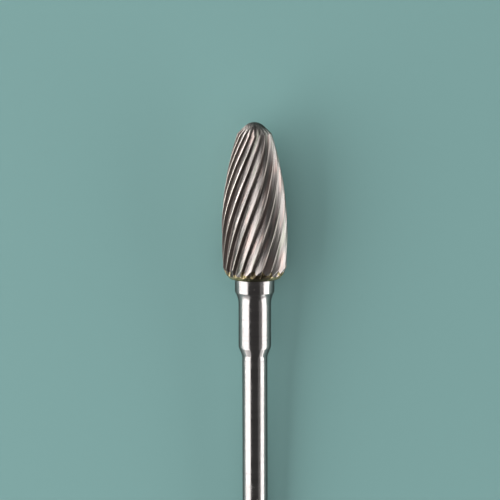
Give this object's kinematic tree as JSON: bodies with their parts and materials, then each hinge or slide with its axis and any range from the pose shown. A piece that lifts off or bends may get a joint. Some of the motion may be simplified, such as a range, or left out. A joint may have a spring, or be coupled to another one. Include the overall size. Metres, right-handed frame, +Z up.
{
  "type": "carbide burr",
  "caption": "Fluted carbide burr with a round-nosed tapering head brazed to a stepped steel shank, for a handpiece, lying on its side.",
  "frame": {"origin": "middle of the bounding box in plan, on the floor that the burr lies on", "axes": "+Y from the shank end to the tip, +Z up, +X to the right of the burr as seen from above with the tip ahead"},
  "size_m": [0.0062, 0.0444, 0.0063],
  "materials": {
    "carbide": "ground tungsten carbide, bright on the backs of the teeth",
    "braze": "ground braze, slightly tarnished",
    "steel": "finely turned and polished stainless steel"
  },
  "bodies": {
    "root": {"carbide_head": "carbide", "braze_joint": "braze", "steel_shank": "steel"}
  },
  "joints": []
}
